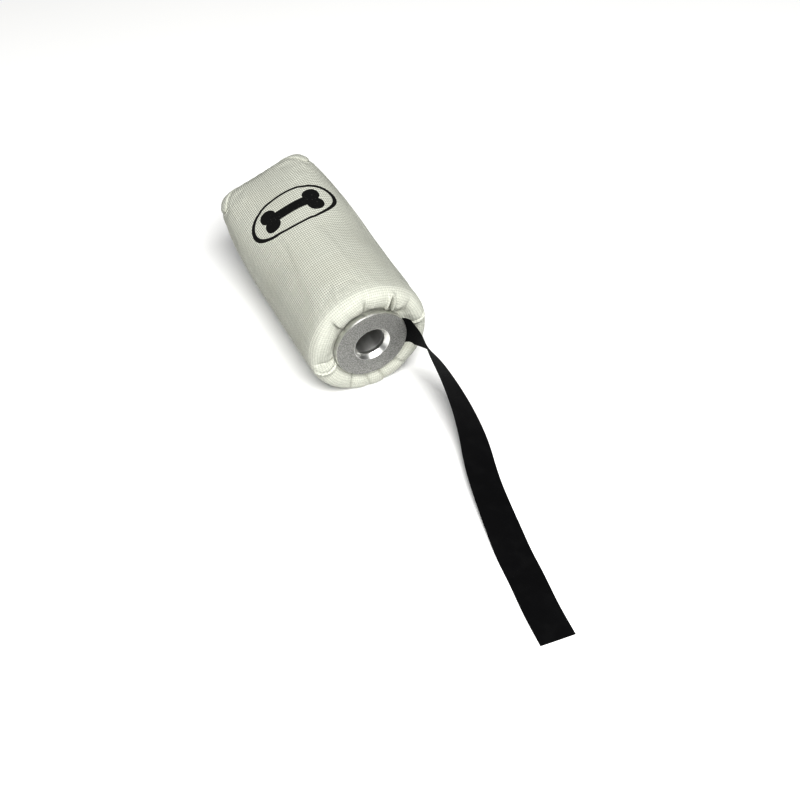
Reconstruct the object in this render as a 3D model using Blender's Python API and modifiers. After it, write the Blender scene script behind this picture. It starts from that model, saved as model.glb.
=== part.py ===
"""Training bumper: a canvas-covered foam dummy built round a blind launch tube.

The bumper lies on its side along Y. The flanged mouth of its launch tube faces -Y, and the
boxed end of its cover faces +Y. It rests on the flat that its own weight presses into the
cover, at z = 0. A ribbon streamer leaves the joint between flange and cover, falls to the
surface and lies along it.

"Depth" is the distance along the axis from the flange's face, towards the far end.
"""

import math

import bmesh
import bpy
import numpy as np
from mathutils import Vector

MM = 0.001
GAP = 0.3 * MM

# Whole object
LENGTH = 162.8 * MM
AXIS_HEIGHT = 41.1 * MM
MOUTH_Y = -LENGTH / 2
ROUND_STEPS = 48

# End flange, turned from aluminium
FLANGE_RADIUS = 25.4 * MM
FLANGE_THICK = 4.0 * MM
FLANGE_CHAMFER = 0.4 * MM
FLANGE_BAND = 1.3 * MM
COUNTERSINK_RADIUS = 12.6 * MM
COUNTERSINK_DEPTH = 3.0 * MM
HUB_RADIUS = 15.0 * MM
HUB_END = 14.0 * MM
SOCKET_START = 5.3 * MM

# Launch tube and what holds its far end
BORE_RADIUS = 10.2 * MM
TUBE_WALL = 1.5 * MM
TUBE_RADIUS = BORE_RADIUS + TUBE_WALL
TUBE_END = 126.0 * MM
PLUG_SHANK = 14.0 * MM
PLUG_HEAD_RADIUS = 13.5 * MM
PLUG_HEAD_THICK = 3.0 * MM
WASHER_RADIUS = 22.0 * MM
WASHER_THICK = 1.8 * MM

# Canvas cover: half width between its flats, and squareness (2 is round), at each depth
CLOTH_THICK = 1.0 * MM
FLATS_TURN = math.radians(20)
COVER_STATIONS = (
    # depth, half width, squareness
    (5.4, 17.2, 2.0),
    (5.4, 21.5, 2.0),
    (5.3, 25.0, 2.0),
    (4.4, 27.0, 2.0),
    (2.6, 29.6, 2.0),
    (1.6, 33.0, 2.0),
    (1.9, 37.0, 2.0),
    (3.5, 39.9, 2.0),
    (6.6, 41.5, 2.0),
    (11.5, 42.0, 2.0),
    (26.0, 42.0, 2.0),
    (50.0, 41.9, 2.0),
    (75.0, 42.0, 2.0),
    (93.0, 42.3, 2.2),
    (109.0, 42.1, 2.6),
    (122.0, 41.5, 3.1),
    (133.0, 40.6, 3.6),
    (142.0, 39.6, 4.1),
    (149.5, 38.5, 4.8),
    (155.5, 37.0, 5.6),
    (159.8, 34.8, 6.3),
    (161.9, 31.5, 6.0),
    (162.5, 24.0, 4.0),
    (162.8, 12.0, 2.5),
)
SEAM_STATION = 20.4
SEAM_RISE = 2.8
EAR_POWER = 5

# Dent in the cover where the streamer comes out, on the +X side
WIDEST_STATION = 13
DENT_CENTRE = math.radians(-4)
DENT_HALF_ANGLE = math.radians(52)
DENT_DEPTH = 3.2 * MM
DENT_RADIUS = 29.4 * MM
DENT_SPREAD = 3.3 * MM

# Foam, cord and thread inside and on the cover
FOAM_INSET = 2.0 * MM
FOAM_BORE = TUBE_RADIUS + GAP
CORD_RADIUS = 1.0 * MM
THREAD_RADIUS = 0.3 * MM
THREAD_GAP = 0.15 * MM
SIDE_SEAM_ANGLES = (math.radians(-48), math.radians(-54))
SIDE_SEAM_STATIONS = (9.5, 18.0)
PANEL_STITCH_STATION = 21.0

# Ribbon streamer: x, depth, z and roll of its middle line; roll 90 stands on edge, 0 lies flat
STREAMER_WIDTH = 22.0 * MM
STREAMER_THICK = 0.5 * MM
STREAMER_ROUTE = (
    (18.0, 4.75, 40.0, 90),
    (24.0, 4.75, 40.0, 90),
    (27.0, 3.5, 39.0, 88),
    (29.0, 0.5, 38.5, 84),
    (31.0, -3.5, 37.5, 76),
    (33.5, -9.5, 36.0, 66),
    (35.5, -21.0, 31.5, 52),
    (37.0, -35.5, 25.5, 45),
    (37.5, -50.5, 18.5, 37),
    (37.0, -63.5, 12.0, 30),
    (35.5, -74.0, 8.0, 25),
    (33.5, -82.5, 5.5, 21),
    (31.0, -91.0, 4.0, 18),
    (26.5, -107.0, 3.5, 15),
    (22.5, -125.5, 2.5, 10),
    (19.0, -143.5, 1.3, 4),
    (16.0, -160.0, 0.5, 0.5),
    (13.5, -180.0, 0.3, 0),
    (10.5, -200.5, 0.3, 0),
    (8.5, -222.0, 0.3, 0),
)


def clear_scene():
    for obj in list(bpy.data.objects):
        bpy.data.objects.remove(obj, do_unlink=True)


def make_collection(name):
    collection = bpy.data.collections.new(name)
    bpy.context.scene.collection.children.link(collection)
    return collection


def material(name, colour, roughness, metallic=0.0):
    """A Principled material with one colour."""
    mat = bpy.data.materials.new(name)
    mat.use_nodes = True
    mat.diffuse_color = (*colour, 1.0)
    shader = mat.node_tree.nodes["Principled BSDF"]
    shader.inputs["Base Color"].default_value = (*colour, 1.0)
    shader.inputs["Roughness"].default_value = roughness
    shader.inputs["Metallic"].default_value = metallic
    return mat


def add_object(name, mesh, mat, collection):
    """Link a mesh as a named, smooth-shaded object."""
    obj = bpy.data.objects.new(name, mesh)
    collection.objects.link(obj)
    mesh.materials.append(mat)
    for face in mesh.polygons:
        face.use_smooth = True
    return obj


def turned(name, profile, mat, collection):
    """A ring turned about the bumper's axis from a closed profile of (radius, depth)."""
    mesh = bpy.data.meshes.new(name)
    bm = bmesh.new()
    verts = [bm.verts.new((radius, 0.0, depth)) for radius, depth in profile]
    for i, vert in enumerate(verts):
        bm.edges.new((vert, verts[(i + 1) % len(verts)]))
    bm.to_mesh(mesh)
    bm.free()
    obj = add_object(name, mesh, mat, collection)
    obj.location = (0.0, MOUTH_Y, AXIS_HEIGHT)
    obj.rotation_euler = (math.radians(-90), 0.0, 0.0)
    screw = obj.modifiers.new("Turn", "SCREW")
    screw.axis = "Z"
    screw.angle = math.tau
    screw.steps = ROUND_STEPS
    screw.render_steps = ROUND_STEPS
    screw.use_merge_vertices = True
    screw.merge_threshold = 0.00001
    screw.use_smooth_shade = True
    return obj


def loft(name, rings, mat, collection, first="open", last="open"):
    """Quads between rings of equal count; an end is open, fanned to a centre, or joined round."""
    mesh = bpy.data.meshes.new(name)
    bm = bmesh.new()
    loops = [[bm.verts.new(point) for point in ring] for ring in rings]
    pairs = list(zip(loops, loops[1:]))
    if first == "joined":
        pairs.append((loops[-1], loops[0]))
    for near, far in pairs:
        for i in range(len(near)):
            j = (i + 1) % len(near)
            bm.faces.new((near[i], far[i], far[j], near[j]))
    if first == "fan":
        fan(bm, loops[0], flip=False)
    if last == "fan":
        fan(bm, loops[-1], flip=True)
    bmesh.ops.recalc_face_normals(bm, faces=bm.faces)
    bm.to_mesh(mesh)
    bm.free()
    return add_object(name, mesh, mat, collection)


def fan(bm, loop, flip):
    """Triangles from a ring to its centre."""
    centre = bm.verts.new(sum((v.co for v in loop), Vector()) / len(loop))
    for i, vert in enumerate(loop):
        after = loop[(i + 1) % len(loop)]
        bm.faces.new((after, vert, centre) if flip else (vert, after, centre))


def solidify(obj, thickness):
    """Give an open sheet its thickness, measured inwards from the modelled side."""
    modifier = obj.modifiers.new("Thickness", "SOLIDIFY")
    modifier.thickness = thickness
    modifier.offset = -1.0
    modifier.use_even_offset = True


def station(value):
    """Depth, half width and squareness of the cover at a fractional station number."""
    numbers = range(len(COVER_STATIONS))
    depth, half, square = (
        float(np.interp(value, numbers, column)) for column in zip(*COVER_STATIONS)
    )
    return depth * MM, half * MM, square


def dent(angle, radius):
    """How far the streamer's exit pushes the cover back, away from the mouth."""
    turn = (angle - DENT_CENTRE + math.pi) % math.tau - math.pi
    across = max(0.0, 1.0 - (turn / DENT_HALF_ANGLE) ** 4)
    return DENT_DEPTH * across * math.exp(-(((radius - DENT_RADIUS) / DENT_SPREAD) ** 2))


def profile_point(value, angle, inset):
    """Depth and half width at a station, moved inwards along the profile's own normal."""
    depth, half, square = station(value)
    before = station(value - 0.5)
    after = station(value + 0.5)
    along = Vector((after[0] - before[0], after[1] - before[1])).normalized()
    if value < WIDEST_STATION:
        depth += dent(angle, half)
    depth += inset * along.y
    half -= inset * along.x
    return depth, half, square


def cover_point(value, angle, inset=0.0):
    """A point of the cover's outer surface, or of a surface a little way inside it."""
    depth, half, square = profile_point(value, angle, inset)
    turn = angle - FLATS_TURN
    spread = abs(math.cos(turn)) ** square + abs(math.sin(turn)) ** square
    radius = half / spread ** (1 / square)
    x = radius * math.cos(angle)
    z = AXIS_HEIGHT + radius * math.sin(angle)
    return (x, MOUTH_Y + depth, max(z, inset))


def cover_ring(value, inset=0.0):
    """One ring round the cover; value is a station number, or gives one for each angle."""
    angles = [math.tau * i / ROUND_STEPS for i in range(ROUND_STEPS)]
    chosen = value if callable(value) else (lambda _: value)
    return [cover_point(chosen(angle), angle, inset) for angle in angles]


def axis_ring(radius, depth):
    """One round ring about the bumper's axis."""
    angles = [math.tau * i / ROUND_STEPS for i in range(ROUND_STEPS)]
    return [
        (radius * math.cos(a), MOUTH_Y + depth, AXIS_HEIGHT + radius * math.sin(a))
        for a in angles
    ]


def seam_station(angle):
    """Where sleeve meets end panel: the seam dips towards the mouth at each boxed corner."""
    corner = 0.5 - 0.5 * math.cos(4 * (angle - FLATS_TURN))
    return SEAM_STATION - SEAM_RISE * corner**EAR_POWER


def curve_solid(name, points, radius, mat, collection, closed=False):
    """A round cord or thread along points, with filled ends when it is open."""
    curve = bpy.data.curves.new(name, "CURVE")
    curve.dimensions = "3D"
    curve.bevel_depth = radius
    curve.bevel_resolution = 1
    curve.use_fill_caps = not closed
    spline = curve.splines.new("POLY")
    spline.points.add(len(points) - 1)
    for spline_point, point in zip(spline.points, points):
        spline_point.co = (*point, 1.0)
    spline.use_cyclic_u = closed
    obj = bpy.data.objects.new(name, curve)
    collection.objects.link(obj)
    curve.materials.append(mat)
    return obj


def make_end_flange(mat, collection):
    """Round flange with a countersunk mouth, and a hub socketed for the launch tube."""
    profile = (
        (HUB_RADIUS - 0.5 * MM, HUB_END),
        (HUB_RADIUS, HUB_END - 0.5 * MM),
        (HUB_RADIUS, FLANGE_THICK),
        (FLANGE_RADIUS - 0.3 * MM, FLANGE_THICK),
        (FLANGE_RADIUS, FLANGE_THICK - 0.3 * MM),
        (FLANGE_RADIUS, FLANGE_BAND),
        (FLANGE_RADIUS - FLANGE_CHAMFER, 0.0),
        (COUNTERSINK_RADIUS, 0.0),
        (BORE_RADIUS, COUNTERSINK_DEPTH),
        (BORE_RADIUS, SOCKET_START),
        (TUBE_RADIUS + GAP, SOCKET_START),
        (TUBE_RADIUS + GAP, HUB_END),
    )
    turned("end_flange", profile, mat, collection)


def make_launch_tube(mat, collection):
    """Plain tube that the launcher's spigot slides into."""
    start = SOCKET_START + GAP
    profile = (
        (TUBE_RADIUS, TUBE_END),
        (TUBE_RADIUS, start),
        (BORE_RADIUS, start),
        (BORE_RADIUS, TUBE_END),
    )
    turned("launch_tube", profile, mat, collection)


def make_tube_plug(mat, collection):
    """Headed plug that closes the tube's far end; its head traps the washer."""
    head = TUBE_END + GAP
    shank = BORE_RADIUS - GAP
    rings = [
        axis_ring(shank - 0.8 * MM, TUBE_END - PLUG_SHANK),
        axis_ring(shank, TUBE_END - PLUG_SHANK + 0.8 * MM),
        axis_ring(shank, head),
        axis_ring(PLUG_HEAD_RADIUS, head),
        axis_ring(PLUG_HEAD_RADIUS, head + PLUG_HEAD_THICK - 0.6 * MM),
        axis_ring(PLUG_HEAD_RADIUS - 0.6 * MM, head + PLUG_HEAD_THICK),
    ]
    loft("tube_plug", rings, mat, collection, first="fan", last="fan")


def make_retaining_washer(mat, collection):
    """Flat washer round the tube's far end, which spreads the launch load into the foam."""
    inner = TUBE_RADIUS + GAP
    profile = (
        (WASHER_RADIUS, TUBE_END),
        (WASHER_RADIUS, TUBE_END - WASHER_THICK),
        (inner, TUBE_END - WASHER_THICK),
        (inner, TUBE_END),
    )
    turned("retaining_washer", profile, mat, collection)


def make_foam_core(mat, collection):
    """Foam body round the hub and tube, shaped like the inside of the cover."""
    end = TUBE_END - WASHER_THICK - GAP
    hub_bore = HUB_RADIUS + GAP
    cord_room = 19.4 * MM
    rings = [
        axis_ring(FOAM_BORE, end),
        axis_ring(FOAM_BORE, HUB_END + GAP),
        axis_ring(hub_bore, HUB_END + GAP),
        axis_ring(hub_bore, 9.6 * MM),
        axis_ring(cord_room, 9.6 * MM),
        axis_ring(cord_room + 0.8 * MM, 7.3 * MM),
    ]
    rings += [cover_ring(n, FOAM_INSET) for n in range(3, 16)]
    rings.append([(x, MOUTH_Y + end, z) for x, _, z in cover_ring(15.12, FOAM_INSET)])
    loft("foam_core", rings, mat, collection, first="joined")


def make_foam_nose_pad(mat, collection):
    """Foam block behind the plug, hollowed for the washer and the plug's head."""
    start = TUBE_END - WASHER_THICK
    recess = WASHER_RADIUS + GAP
    floor = TUBE_END + PLUG_HEAD_THICK + 2 * GAP
    front = [(x, MOUTH_Y + start, z) for x, _, z in cover_ring(15.2, FOAM_INSET)]
    rings = [
        axis_ring(recess / 2, floor),
        axis_ring(recess, floor),
        axis_ring(recess, start),
        front,
    ]
    rings += [cover_ring(n, FOAM_INSET) for n in (16, 17, 18, 19, 20, 21, 22, 23)]
    loft("foam_nose_pad", rings, mat, collection, first="fan", last="fan")


def make_cover_sleeve(mat, collection):
    """Woven sleeve, drawn in under the flange at the mouth and seamed at the far end."""
    last_plain = 17
    rings = [cover_ring(n) for n in range(last_plain + 1)]
    for part in (0.2, 0.4, 0.6, 0.8, 1.0):
        rings.append(cover_ring(lambda angle: last_plain + part * (seam_station(angle) - last_plain)))
    solidify(loft("cover_sleeve", rings, mat, collection), CLOTH_THICK)


def make_cover_end_panel(mat, collection):
    """Square panel that closes the far end; its corners wrap round onto the barrel."""
    first_plain = 21
    rings = []
    for part in (0.0, 0.2, 0.4, 0.6, 0.8):
        start = lambda angle: seam_station(angle) + 0.08
        rings.append(cover_ring(lambda angle: start(angle) + part * (first_plain - start(angle))))
    rings += [cover_ring(n) for n in (21, 22, 23)]
    solidify(loft("cover_end_panel", rings, mat, collection, last="fan"), CLOTH_THICK)


def make_gather_cord(mat, collection):
    """Cord in the sleeve's hem, tied round the hub behind the flange."""
    radius = HUB_RADIUS + GAP + CORD_RADIUS + 0.8 * MM
    points = axis_ring(radius, 8.0 * MM)
    curve_solid("gather_cord", points, CORD_RADIUS, mat, collection, closed=True)


def make_side_seam_threads(mat, collection):
    """Two rows of thread along the sleeve's lapped side seam, low on the +X side."""
    start, end = SIDE_SEAM_STATIONS
    stand_off = -(THREAD_GAP + THREAD_RADIUS)
    for row, angle in enumerate(SIDE_SEAM_ANGLES, start=1):
        values = np.linspace(start, end, 18)
        points = [cover_point(float(value), angle, stand_off) for value in values]
        curve_solid(f"side_seam_thread_{row}", points, THREAD_RADIUS, mat, collection)


def make_end_panel_thread(mat, collection):
    """Row of thread round the end panel, just inside its seam."""
    stand_off = -(THREAD_GAP + THREAD_RADIUS)
    points = cover_ring(PANEL_STITCH_STATION, stand_off)
    curve_solid("end_panel_thread", points, THREAD_RADIUS, mat, collection, closed=True)


def make_streamer(mat, collection):
    """Flat ribbon: clamped behind the flange, then falling, rolling over and lying flat."""
    route = [Vector((x, y, z)) * MM + Vector((0, MOUTH_Y, 0)) for x, y, z, _ in STREAMER_ROUTE]
    rolls = [math.radians(row[3]) for row in STREAMER_ROUTE]
    mesh = bpy.data.meshes.new("streamer")
    bm = bmesh.new()
    rows = []
    for i, (point, roll) in enumerate(zip(route, rolls)):
        ahead = route[min(i + 1, len(route) - 1)] - route[max(i - 1, 0)]
        level = ahead.cross(Vector((0, 0, 1))).normalized()
        upward = level.cross(ahead).normalized()
        side = (level * math.cos(roll) + upward * math.sin(roll)) * STREAMER_WIDTH / 2
        rows.append([bm.verts.new(point + side * s) for s in (1.0, 0.0, -1.0)])
    for near, far in zip(rows, rows[1:]):
        for i in (0, 1):
            bm.faces.new((near[i], near[i + 1], far[i + 1], far[i]))
    bm.to_mesh(mesh)
    bm.free()
    obj = add_object("streamer", mesh, mat, collection)
    modifier = obj.modifiers.new("Thickness", "SOLIDIFY")
    modifier.thickness = STREAMER_THICK
    modifier.offset = 0.0


def main():
    clear_scene()
    collection = make_collection("training_bumper")
    canvas = material("canvas", (0.60, 0.60, 0.53), 0.85)
    thread = material("thread", (0.68, 0.68, 0.62), 0.7)
    foam = material("foam", (0.78, 0.72, 0.52), 0.95)
    cord = material("cord", (0.66, 0.64, 0.58), 0.8)
    ribbon = material("ribbon", (0.012, 0.012, 0.013), 0.75)
    turned_aluminium = material("turned_aluminium", (0.55, 0.55, 0.53), 0.45, 1.0)
    tube_aluminium = material("tube_aluminium", (0.62, 0.62, 0.61), 0.3, 1.0)
    steel = material("zinc_steel", (0.55, 0.56, 0.57), 0.4, 1.0)

    make_end_flange(turned_aluminium, collection)
    make_launch_tube(tube_aluminium, collection)
    make_tube_plug(turned_aluminium, collection)
    make_retaining_washer(steel, collection)
    make_foam_core(foam, collection)
    make_foam_nose_pad(foam, collection)
    make_gather_cord(cord, collection)
    make_cover_sleeve(canvas, collection)
    make_cover_end_panel(canvas, collection)
    make_side_seam_threads(thread, collection)
    make_end_panel_thread(thread, collection)
    make_streamer(ribbon, collection)


main()
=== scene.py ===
import math

import bmesh
import bpy
import numpy as np
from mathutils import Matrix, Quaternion, Vector


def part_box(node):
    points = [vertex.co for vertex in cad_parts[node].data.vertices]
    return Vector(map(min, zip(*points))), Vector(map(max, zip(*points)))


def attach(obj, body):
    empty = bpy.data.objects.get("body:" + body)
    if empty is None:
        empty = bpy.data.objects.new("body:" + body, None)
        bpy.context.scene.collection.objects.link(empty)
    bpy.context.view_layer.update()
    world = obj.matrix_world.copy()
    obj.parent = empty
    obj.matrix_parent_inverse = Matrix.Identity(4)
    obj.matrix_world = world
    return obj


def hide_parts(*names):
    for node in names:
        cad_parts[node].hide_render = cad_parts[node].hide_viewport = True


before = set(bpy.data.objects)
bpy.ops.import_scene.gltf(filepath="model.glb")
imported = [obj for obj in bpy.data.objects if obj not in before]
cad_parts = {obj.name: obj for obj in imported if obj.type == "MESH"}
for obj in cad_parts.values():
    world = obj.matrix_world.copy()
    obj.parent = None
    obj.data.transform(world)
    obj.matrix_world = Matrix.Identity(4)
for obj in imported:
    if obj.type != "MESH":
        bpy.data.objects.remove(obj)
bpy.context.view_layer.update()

MM = 0.001

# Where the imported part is: depth is measured from the flange's face towards the far end
flange_low, flange_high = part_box("end_flange")
tube_low, tube_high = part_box("launch_tube")
MOUTH_Y = flange_low.y
AXIS_HEIGHT = (flange_low.z + flange_high.z) / 2
FLANGE_RADIUS = (flange_high.z - flange_low.z) / 2 / MM
TUBE_START = (tube_low.y - MOUTH_Y) / MM
TUBE_END = (tube_high.y - MOUTH_Y) / MM

# Cover: depth, half width between its flats and squareness (2 is round), in millimetres
FLATS_TURN = math.radians(20)
COVER_STATIONS = (
    (5.4, 17.2, 2.0),
    (5.4, 21.5, 2.0),
    (5.3, 25.0, 2.0),
    (4.4, 27.0, 2.0),
    (2.6, 29.6, 2.0),
    (1.6, 33.0, 2.0),
    (1.9, 37.0, 2.0),
    (3.5, 39.9, 2.0),
    (6.6, 41.5, 2.0),
    (11.5, 42.0, 2.0),
    (26.0, 42.0, 2.0),
    (50.0, 41.9, 2.0),
    (75.0, 42.0, 2.0),
    (93.0, 42.3, 2.2),
    (109.0, 42.1, 2.6),
    (122.0, 41.5, 3.1),
    (133.0, 40.6, 3.6),
    (142.0, 39.6, 4.1),
    (149.5, 38.5, 4.8),
    (155.5, 37.0, 5.6),
    (159.8, 34.8, 6.3),
    (161.9, 31.5, 6.0),
    (162.5, 24.0, 4.0),
    (162.8, 12.0, 2.5),
)

# Seam with the end panel: its station, its rise at the corners and the stitches inside it
SEAM_STATION = 20.4
SEAM_RISE = 2.8
PANEL_STITCH_STATION = 21.0
LAST_STATION = len(COVER_STATIONS) - 1.001
EAR_POWER = 5
BARREL_RADIUS = 42.0
CLOTH_THICK = 0.8
FLOOR_GAP = 0.00002  # metres

# Grid of the cloth: columns round the sleeve, and rows of the end panel outside its flat middle
COLUMNS = 512
PANEL_ROWS = 70
MIDDLE_RINGS = 11

# Dent in the cover where the streamer comes out; the cover is widest at WIDEST_STATION
WIDEST_STATION = 13
DENT_CENTRE = math.radians(-4)
DENT_HALF_ANGLE = math.radians(52)
DENT_DEPTH = 3.2
DENT_RADIUS = 29.4
DENT_SPREAD = 3.3

# Folds of the gathered mouth, each along a line from the flange outwards: the line's angle at the
# rim, halfway and at its end in degrees, its height, the extra height of its rolled edge and its
# reach in millimetres, and its kind. +1 and -1 are knife pleats that lie over towards larger or
# smaller angles, 0 is a looped tuck.
PLEATS = (
    (57, 63.5, 66.5, 2.5, 0.0, 14.0, 0),
    (101, 99, 97, 1.2, 0.2, 13.0, -1),
    (136, 135, 133, 1.2, 0.3, 14.0, 1),
    (190, 190, 189, 0.7, 0.2, 10.0, 1),
    (203, 204, 188, 1.5, 1.1, 20.0, 1),
    (240, 244, 250, 0.8, 0.4, 18.0, 1),
    (262, 267, 271, 0.4, 0.3, 18.0, -1),
    (279, 283, 284, 0.5, 0.3, 18.0, 1),
    (306, 309, 312, 0.8, 0.3, 16.0, -1),
    (3, 8.5, 17, 1.9, 1.1, 19.0, -1),
    (34, 38, 44, 0.4, 0.0, 15.0, 1),
)

# Side seam: its angle, the lap's height and half width, and the stitches beside its middle
SIDE_SEAM = math.radians(-51)
LAP_HEIGHT = 0.55
LAP_HALF = 5.0
LAP_EDGE = 0.5
STITCH_OFFSET = 2.6

# Stitches, in millimetres
STITCH_LENGTH = 2.6
STITCH_GAP = 1.0
STITCH_RADIUS = 0.26
STITCH_RINGS = 7
STITCH_SIDES = 8

# Turned metal, in millimetres
BORE_RADIUS = 10.2
TUBE_RADIUS = 11.7
COUNTERSINK_RADIUS = 12.6
COUNTERSINK_DEPTH = 3.0
FACE_CHAMFER = 0.4
CHAMFER_DEPTH = 1.3
FLANGE_THICK = 4.0
SOCKET_RADIUS = 12.0
SOCKET_START = 5.3
HUB_RADIUS = 15.0
HUB_CHAMFER = 0.5
HUB_END = 14.0

# Foam: its size as a share of the cover's, the depth it shrinks towards and its hole's profile
FOAM_SHARE = 0.93
FOAM_MIDDLE = 82.0
FOAM_HOLE = ((12.6, 124.0), (12.6, 15.0), (16.0, 15.0), (16.0, 11.0))

# Ribbon streamer: x, depth, z and roll of its middle line, as in the CAD part
STREAMER_WIDTH = 22.0 * MM
RIB_PITCH = 0.95
RIB_STEP = 0.24
STREAMER_ROUTE = (
    (18.0, 4.75, 40.0, 90),
    (24.0, 4.75, 40.0, 90),
    (27.0, 3.5, 39.0, 88),
    (29.0, 0.5, 38.5, 84),
    (31.0, -3.5, 37.5, 76),
    (33.5, -9.5, 36.0, 66),
    (35.5, -21.0, 31.5, 52),
    (37.0, -35.5, 25.5, 45),
    (37.5, -50.5, 18.5, 37),
    (37.0, -63.5, 12.0, 30),
    (35.5, -74.0, 8.0, 25),
    (33.5, -82.5, 5.5, 21),
    (31.0, -91.0, 4.0, 18),
    (26.5, -107.0, 3.5, 15),
    (22.5, -125.5, 2.5, 10),
    (19.0, -143.5, 1.3, 4),
    (16.0, -160.0, 0.5, 0.5),
    (13.5, -180.0, 0.3, 0),
    (10.5, -200.5, 0.3, 0),
    (8.5, -222.0, 0.3, 0),
)


# ------------ camera

def make_camera():
    """Looks down at the bumper from above and to the left of its mouth."""
    azimuth = math.radians(-27.4)
    elevation = math.radians(46.73)
    roll = math.radians(1.01)
    distance = 0.7986
    aim = Vector((11.8 * MM, MOUTH_Y - 17.6 * MM, 0.0))
    back = Vector((
        math.sin(azimuth) * math.cos(elevation),
        -math.cos(azimuth) * math.cos(elevation),
        math.sin(elevation),
    ))
    data = bpy.data.cameras.new("camera")
    data.lens = 54.0
    data.sensor_width = 36.0
    data.clip_start = 0.01
    data.clip_end = 20.0
    camera = bpy.data.objects.new("camera", data)
    bpy.context.collection.objects.link(camera)
    camera.location = aim + back * distance
    camera.rotation_mode = "QUATERNION"
    level = (-back).to_track_quat("-Z", "Y")
    camera.rotation_quaternion = level @ Quaternion((0, 0, 1), roll)
    bpy.context.scene.camera = camera


# ------------ node helpers

class Nodes:
    """Short names for adding and joining shader nodes in one material."""

    def __init__(self, name):
        self.material = bpy.data.materials.new(name)
        self.material.use_nodes = True
        self.tree = self.material.node_tree
        self.shader = self.tree.nodes["Principled BSDF"]

    def add(self, kind, **settings):
        node = self.tree.nodes.new(kind)
        for key, value in settings.items():
            setattr(node, key, value)
        return node

    def join(self, source, target):
        """Wire a socket, or set a constant, into an input socket."""
        if isinstance(source, bpy.types.NodeSocket):
            self.tree.links.new(source, target)
        else:
            target.default_value = source

    def math(self, operation, *values):
        node = self.add("ShaderNodeMath", operation=operation)
        for value, socket in zip(values, node.inputs):
            self.join(value, socket)
        return node.outputs[0]

    def mix(self, factor, first, second):
        """Mix two colours."""
        node = self.add("ShaderNodeMix", data_type="RGBA")
        self.join(factor, node.inputs["Factor"])
        self.join(first, node.inputs[6])
        self.join(second, node.inputs[7])
        return node.outputs[2]

    def noise(self, vector, scale, detail=3.0, roughness=0.55):
        node = self.add("ShaderNodeTexNoise")
        self.join(vector, node.inputs["Vector"])
        node.inputs["Scale"].default_value = scale
        node.inputs["Detail"].default_value = detail
        node.inputs["Roughness"].default_value = roughness
        return node.outputs["Fac"]

    def place(self):
        """Position on the object, in metres."""
        return self.add("ShaderNodeTexCoord").outputs["Object"]

    def uv(self, name):
        """Separate X and Y of a UV map."""
        split = self.add("ShaderNodeSeparateXYZ")
        self.join(self.add("ShaderNodeUVMap", uv_map=name).outputs[0], split.inputs[0])
        return split.outputs[0], split.outputs[1]

    def smooth(self, value, low, high, to_low=0.0, to_high=1.0):
        node = self.add("ShaderNodeMapRange", interpolation_type="SMOOTHSTEP")
        self.join(value, node.inputs["Value"])
        node.inputs["From Min"].default_value = low
        node.inputs["From Max"].default_value = high
        node.inputs["To Min"].default_value = to_low
        node.inputs["To Max"].default_value = to_high
        return node.outputs[0]

    def bump(self, height, distance, strength=1.0, below=None):
        node = self.add("ShaderNodeBump")
        node.inputs["Strength"].default_value = strength
        node.inputs["Distance"].default_value = distance
        self.join(height, node.inputs["Height"])
        if below is not None:
            self.join(below, node.inputs["Normal"])
        return node.outputs[0]

    def finish(self, colour, roughness, normal=None, metallic=0.0, **constants):
        inputs = self.shader.inputs
        self.join(colour, inputs["Base Color"])
        self.join(roughness, inputs["Roughness"])
        inputs["Metallic"].default_value = metallic
        if normal is not None:
            self.join(normal, inputs["Normal"])
        for name, value in constants.items():
            inputs[name.replace("_", " ")].default_value = value
        return self.material


def rgb(red, green, blue):
    return (red, green, blue, 1.0)


# ------------ materials

WARP_PITCH = 1.4
WEFT_PITCH = 1.8

# Printed mark in millimetres: its place, the oval ring, and the bone's bar and four knobs
PRINT_ANGLE = math.radians(104)
PRINT_DEPTH = 104.0
RING_LONG = 31.0
RING_SHORT = 17.0
RING_HALF_LINE = 0.035
BAR_HALF_LONG = 14.0
BAR_HALF_WIDE = 3.9
KNOB_RADIUS = 5.7
KNOB_ALONG = 16.2
KNOB_ASIDE = 4.6


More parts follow.
